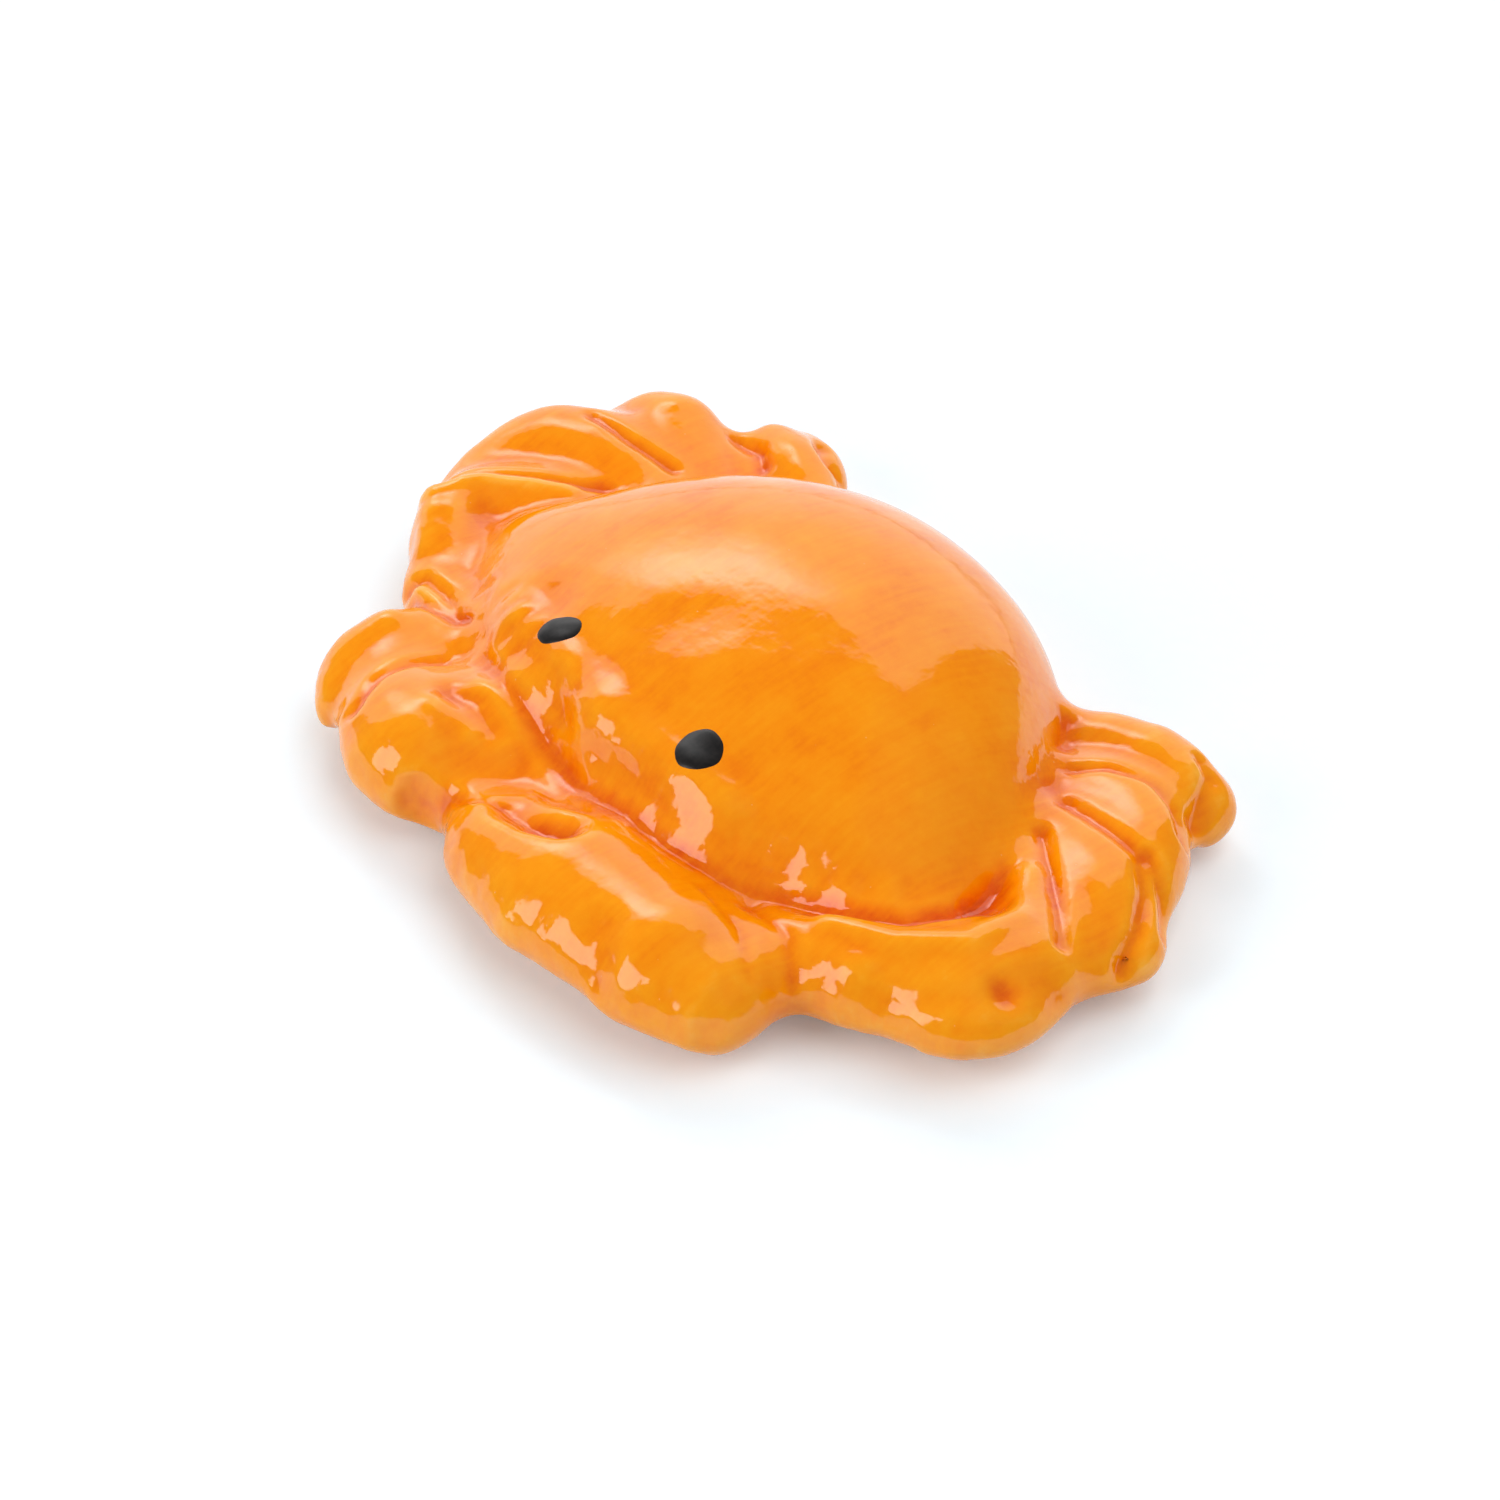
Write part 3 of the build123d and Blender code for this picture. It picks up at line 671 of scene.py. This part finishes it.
uneven = put(
    tree, "ShaderNodeTexNoise", Vector=place, Scale=1 / unevenness_width, Detail=3.0, Roughness=0.55,
).outputs[0]
crawl = put(
    tree, "ShaderNodeTexNoise", Vector=place, Scale=1 / crawl_width, Detail=1.0, Roughness=0.5,
).outputs[0]
facing_way = put(tree, "ShaderNodeTexCoord").outputs["Normal"]
upright = put(tree, "ShaderNodeSeparateXYZ", Vector=facing_way).outputs["Z"]
steep = put(
    tree, "ShaderNodeMapRange", Value=upright, From_Min=0.93, From_Max=0.6, To_Min=0.02, To_Max=0.16,
).outputs[0]
bump = put(tree, "ShaderNodeBump", Height=strokes, Strength=0.12, Distance=streak_depth).outputs[0]
bump = put(
    tree, "ShaderNodeBump", {"invert": True}, Height=pin_holes, Strength=0.5, Distance=pin_hole_depth,
    Normal=bump,
).outputs[0]
bump = put(
    tree, "ShaderNodeBump", Height=crawl, Strength=steep, Distance=crawl_depth, Normal=bump,
).outputs[0]
bump = put(
    tree, "ShaderNodeBump", Height=uneven, Strength=0.20, Distance=unevenness_depth, Normal=bump,
).outputs[0]
glaze_surface = put(
    tree, "ShaderNodeBsdfPrincipled", Base_Color=glaze_colour, Roughness=0.08, IOR=1.48, Normal=bump,
)
put(tree, "ShaderNodeOutputMaterial", Surface=glaze_surface.outputs[0])

for name, piece in clay_pieces.items():
    piece.data.materials.append(glaze)
    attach(piece, "root")
    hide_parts(name)
print("glazed pieces:", len(clay_pieces), "glaze nodes:", len(tree.nodes))

# %% [markdown]
# ## Black glaze
# The eyes are dabs of black overglaze, brushed on and fired to a satin surface. The bristles left
# it slightly browner in places half a millimetre wide.

# %% Glazed earthenware, black
bristle_width = 0.5 * MM
black, tree = blank("overglaze_black_satin")
place = put(tree, "ShaderNodeTexCoord").outputs["Object"]
bristle = put(tree, "ShaderNodeTexNoise", Vector=place, Scale=1 / bristle_width, Detail=2.0).outputs[0]
black_colour = ramp(tree, bristle, ((0.35, "#0D0B0B"), (0.65, "#1B1716")))
black_surface = put(
    tree, "ShaderNodeBsdfPrincipled", Base_Color=black_colour, Roughness=0.36, IOR=1.42,
)
put(tree, "ShaderNodeOutputMaterial", Surface=black_surface.outputs[0])
print("black glaze nodes:", len(tree.nodes))

# %% [markdown]
# ## The eyes
# Each eye is one dab of thick glaze on the shell, almost flat, and rounded off at its edge. The
# left one is round, and the right one was drawn out to an oval. A lens profile is spun to a closed
# disc, and then every point of it is laid on the skin at its place and lifted square to it, so the
# dab follows the shell however that curves.

# %% Lay the eyes on the shell
skin_tree = BVHTree.FromPolygons([v.co for v in skin.vertices], [p.vertices[:] for p in skin.polygons])
eye_height = 0.26
eye_depth = 0.3
oval_slant = math.radians(34)
above_the_crab = 60
eyes = {"left_eye": ((13.0, -18.4), 2.75, 2.75), "right_eye": ((-13.9, -18.3), 2.65, 2.0)}
top_shares = (0, 0.25, 0.5, 0.7, 0.85, 0.95, 1)
under_shares = (0.95, 0.6, 0.3, 0)


def eye_dab(name):
    """A closed lens of glaze laid on the skin round its place."""
    (x, y), long_radius, short_radius = eyes[name]
    form = bmesh.new()
    top = [(long_radius * share, eye_height * (1 - share**4)) for share in top_shares]
    under = [(long_radius * share, -eye_depth) for share in under_shares]
    verts = [bmesh.ops.create_vert(form, co=(r, 0, up))["vert"][0] for r, up in top + under]
    edges = [form.edges.new(pair) for pair in zip(verts, verts[1:])]
    bmesh.ops.spin(
        form, geom=verts + edges, cent=(0, 0, 0), axis=(0, 0, 1), angle=math.tau, steps=48,
        use_merge=True,
    )
    bmesh.ops.remove_doubles(form, verts=form.verts, dist=1e-4)
    bmesh.ops.recalc_face_normals(form, faces=form.faces)
    bmesh.ops.scale(form, vec=(1, short_radius / long_radius, 1), verts=form.verts)
    bmesh.ops.rotate(form, matrix=Matrix.Rotation(oval_slant, 3, "Z"), verts=form.verts)
    for vert in form.verts:
        turn = math.atan2(vert.co.y, vert.co.x)
        wobble = 1 + 0.015 * math.sin(3 * turn + x) + 0.01 * math.sin(7 * turn)
        spot = Vector((x + vert.co.x * wobble, y + vert.co.y * wobble, above_the_crab)) * MM
        hit, normal, _, _ = skin_tree.ray_cast(spot, Vector((0, 0, -1)))
        vert.co = hit + normal * vert.co.z * MM
    bmesh.ops.smooth_vert(
        form, verts=form.verts, factor=0.3, use_axis_x=True, use_axis_y=True, use_axis_z=True,
    )
    mesh = bpy.data.meshes.new(name + "_dab")
    form.to_mesh(mesh)
    form.free()
    mesh.shade_smooth()
    dab = bpy.data.objects.new(name + "_dab", mesh)
    scene.collection.objects.link(dab)
    dab.data.materials.append(black)
    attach(dab, "root")
    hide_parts(name)
    return dab


for name in eye_nodes:
    print(name, "points:", len(eye_dab(name).data.vertices))

# %% [markdown]
# ## The floor
# The crab stands on white paper. The camera and the glaze see a little glow of its own on it, so
# that it looks white without more light on the crab, and the crab's shadow stays. From two metres
# off the glow grows, so that low views see white paper as far as the horizon.

# %% Floor
floor_reach = 30
fibre_width = 2 * MM
glow_near, glow_far = 0.16, 0.95
glow_grows_from, glow_grows_to = 2.0, 4.0

floor_form = bmesh.new()
bmesh.ops.create_grid(floor_form, x_segments=1, y_segments=1, size=floor_reach)
floor_mesh = bpy.data.meshes.new("floor")
floor_form.to_mesh(floor_mesh)
floor_form.free()
floor = bpy.data.objects.new("floor", floor_mesh)
scene.collection.objects.link(floor)
paper, tree = blank("white_sweep_paper")
grain = put(tree, "ShaderNodeTexCoord").outputs["Object"]
fibre = put(tree, "ShaderNodeTexNoise", Vector=grain, Scale=1 / fibre_width).outputs[0]
paper_colour = ramp(tree, fibre, ((0.0, "#E5F1F8"), (1.0, "#E9F5FC")))
paper_surface = put(tree, "ShaderNodeBsdfDiffuse", Color=paper_colour)
rays = put(tree, "ShaderNodeLightPath").outputs
looked_at = put(
    tree, "ShaderNodeMath", {"operation": "MAXIMUM"}, i0=rays["Is Camera Ray"], i1=rays["Is Glossy Ray"],
).outputs[0]
off_middle = put(tree, "ShaderNodeVectorMath", {"operation": "LENGTH"}, i0=grain).outputs["Value"]
shine = put(
    tree, "ShaderNodeMapRange", Value=off_middle, From_Min=glow_grows_from, From_Max=glow_grows_to,
    To_Min=glow_near, To_Max=glow_far,
).outputs[0]
lit = put(tree, "ShaderNodeMath", {"operation": "MULTIPLY"}, i0=looked_at, i1=shine).outputs[0]
glow = put(tree, "ShaderNodeEmission", Color=(1, 1, 1, 1), Strength=lit)
paper_sum = put(tree, "ShaderNodeAddShader", i0=paper_surface.outputs[0], i1=glow.outputs[0])
put(tree, "ShaderNodeOutputMaterial", Surface=paper_sum.outputs[0])
floor_mesh.materials.append(paper)
print("floor reaches out by m:", floor_reach)

# %% [markdown]
# ## The lamps
# A white wall beyond the crab's far side is lit by a flash, brightest in one round spot: the wall
# is what shows as a pale sheet on the far half of the shell. One wide lamp stands in for it. A
# small soft panel stands low at the left, and makes the torn patches under the eyes. A third light
# fills in from above. It stands for a whole ceiling with a dim light all over it, so the glaze
# doesn't mirror its outline, and the world gives the rest of that dim light.

# %% Lamps and world


def towards(turn, rise, far=1.0):
    """A place in the studio: turned from +X towards +Y, and raised, in degrees, so many metres off."""
    turn, rise = math.radians(turn), math.radians(rise)
    flat = math.cos(rise) * far
    return Vector((math.cos(turn) * flat, math.sin(turn) * flat, math.sin(rise) * far))


def panel(name, place, back, width, height, radiance, hot=None, foot=1.0, reach=1.0):
    """A soft panel lamp, whose back looks the way given. Its brightness is stated at its hot spot,
    a share of its width and height, and falls to the foot's share of it at the reach. A lamp's
    power is pi times its area times its brightness."""
    data = bpy.data.lights.new(name, "AREA")
    data.shape = "RECTANGLE"
    data.size, data.size_y = width, height
    data.energy = math.pi * width * height * radiance
    if hot:
        data.use_nodes = True
        tree = data.node_tree
        tree.nodes.clear()
        across = put(tree, "ShaderNodeNewGeometry").outputs["Parametric"]
        metres = put(
            tree, "ShaderNodeVectorMath", {"operation": "MULTIPLY"}, i0=across, i1=(width, height, 0),
        ).outputs[0]
        middle = (width * hot[0], height * hot[1], 0)
        off = put(
            tree, "ShaderNodeVectorMath", {"operation": "DISTANCE"}, i0=metres, i1=middle,
        ).outputs["Value"]
        fall = put(
            tree, "ShaderNodeMapRange", {"interpolation_type": "SMOOTHSTEP"},
            Value=off, From_Min=reach, From_Max=0.0, To_Min=foot, To_Max=1.0,
        ).outputs[0]
        glow = put(tree, "ShaderNodeEmission", Color=(1, 1, 1, 1), Strength=fall)
        put(tree, "ShaderNodeOutputLight", Surface=glow.outputs[0])
    lamp = bpy.data.objects.new(name, data)
    scene.collection.objects.link(lamp)
    lamp.matrix_world = Matrix.Translation(place) @ back.to_track_quat("Z", "Y").to_matrix().to_4x4()
    return lamp


wall_turn = 120
wall_middle = towards(wall_turn, 0, 0.8) + towards(wall_turn + 90, 0, 1.33) + Vector((0, 0, 0.83))
panel(
    "white_wall_behind", wall_middle, towards(wall_turn, 0), width=3.3, height=1.62, radiance=5.4,
    hot=(0.323, 0.64), foot=0.22, reach=0.6,
)
left_place = towards(-98, 26, 0.95)
panel("soft_panel_left", left_place, towards(-98, 26), width=0.55, height=0.66, radiance=4.3)
fill_place = towards(30, 55, 1.2)
fill = panel("fill_above", fill_place, towards(30, 55), width=1.5, height=1.5, radiance=1.6)
fill.visible_glossy = False

ceiling_glow = 0.18
world = bpy.data.worlds.new("studio")
scene.world = world
world.use_nodes = True
tree = world.node_tree
tree.nodes.clear()
sky = put(tree, "ShaderNodeBackground", Color=(1, 1, 1, 1), Strength=ceiling_glow)
put(tree, "ShaderNodeOutputWorld", Surface=sky.outputs[0])
scene.view_settings.view_transform = "Standard"
print("lamps:", [(lamp.name, round(lamp.energy, 1)) for lamp in bpy.data.lights])
